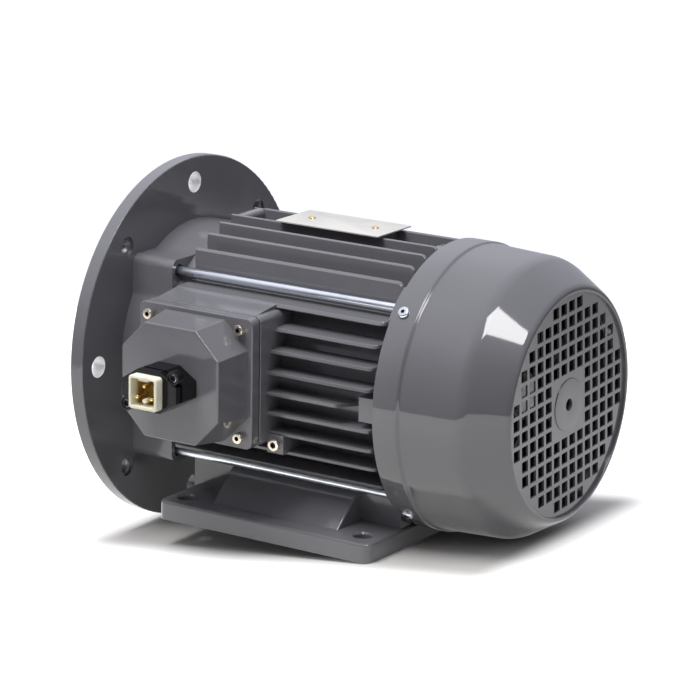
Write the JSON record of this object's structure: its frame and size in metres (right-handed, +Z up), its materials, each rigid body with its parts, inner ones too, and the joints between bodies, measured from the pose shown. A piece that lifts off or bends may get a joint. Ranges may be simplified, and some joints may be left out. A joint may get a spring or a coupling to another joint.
{
  "type": "three-phase induction motor",
  "caption": "Totally enclosed fan-cooled three-phase induction motor with mounting flange, feet, finned frame, terminal box with plug connector and fan cowl.",
  "frame": {"origin": "on the shaft's axis in the plane of the flange's mating face", "axes": "+X along the shaft from the flange towards the fan, +Z up from the feet, terminal box on the -Y side"},
  "size_m": [0.3683, 0.2925, 0.25],
  "materials": {
    "grey_paint": "dark violet-grey gloss paint over die-cast aluminium",
    "cowl_paint": "dark violet-grey gloss paint on pressed sheet",
    "zinc_steel": "bright zinc plate",
    "yellow_zinc": "yellow passivated zinc plate",
    "bare_aluminium": "bare, satin",
    "brass": "plain",
    "gasket_rubber": "matt black",
    "black_plastic": "glossy moulded",
    "ivory_plastic": "moulded ivory",
    "gold_contact": "gold flash",
    "brown_resin": "moulded brown resin",
    "ground_steel": "ground and oiled",
    "lamination": "stacked sheet edges",
    "copper": "enamelled copper wire in resin",
    "fan_plastic": "moulded black",
    "dark_spring": "phosphated spring steel",
    "bearing_steel": "ground and polished"
  },
  "bodies": {
    "frame": {"drive_end_shield": "grey_paint", "stator_frame": "grey_paint", "foot_casting": "grey_paint", "nondrive_end_shield": "grey_paint", "terminal_lid": "grey_paint", "fan_cowl": "cowl_paint", "tie_rods": "zinc_steel", "tie_rod_nuts": "zinc_steel", "cowl_screws": "zinc_steel", "foot_screws": "zinc_steel", "connector_screws": "zinc_steel", "lid_screws": "yellow_zinc", "earth_screw": "yellow_zinc", "nameplate": "bare_aluminium", "nameplate_rivets": "brass", "lid_gasket": "gasket_rubber", "connector_housing": "black_plastic", "connector_insert": "ivory_plastic", "connector_pins": "gold_contact", "terminal_block": "brown_resin", "terminal_studs": "brass", "terminal_nuts": "brass", "terminal_links": "brass", "stator_core": "lamination", "stator_winding": "copper", "bearing_circlip": "dark_spring", "preload_washer": "dark_spring", "shaft_seal": "gasket_rubber", "drive_bearing_outer": "bearing_steel", "nondrive_bearing_outer": "bearing_steel"},
    "rotor": {"shaft": "ground_steel", "shaft_key": "ground_steel", "rotor_core": "lamination", "rotor_cage": "bare_aluminium", "drive_bearing_inner": "bearing_steel", "nondrive_bearing_inner": "bearing_steel", "fan": "fan_plastic", "fan_circlip": "dark_spring"},
    "drive_ball_set": {"drive_bearing_balls": "bearing_steel", "drive_bearing_cage": "brass"},
    "nondrive_ball_set": {"nondrive_bearing_balls": "bearing_steel", "nondrive_bearing_cage": "brass"}
  },
  "joints": [
    {"name": "rotor_spin", "type": "hinge", "parent": "frame", "child": "rotor", "pos_m": [0, 0, 0], "axis": [1, 0, 0], "continuous": true},
    {"name": "drive_ball_spin", "type": "hinge", "parent": "frame", "child": "drive_ball_set", "pos_m": [0.021, 0, 0], "axis": [1, 0, 0], "continuous": true},
    {"name": "nondrive_ball_spin", "type": "hinge", "parent": "frame", "child": "nondrive_ball_set", "pos_m": [0.216, 0, 0], "axis": [1, 0, 0], "continuous": true}
  ],
  "couplings": [
    {"joint": "drive_ball_spin", "follows": "rotor_spin", "ratio": 0.4022},
    {"joint": "nondrive_ball_spin", "follows": "rotor_spin", "ratio": 0.4022}
  ]
}
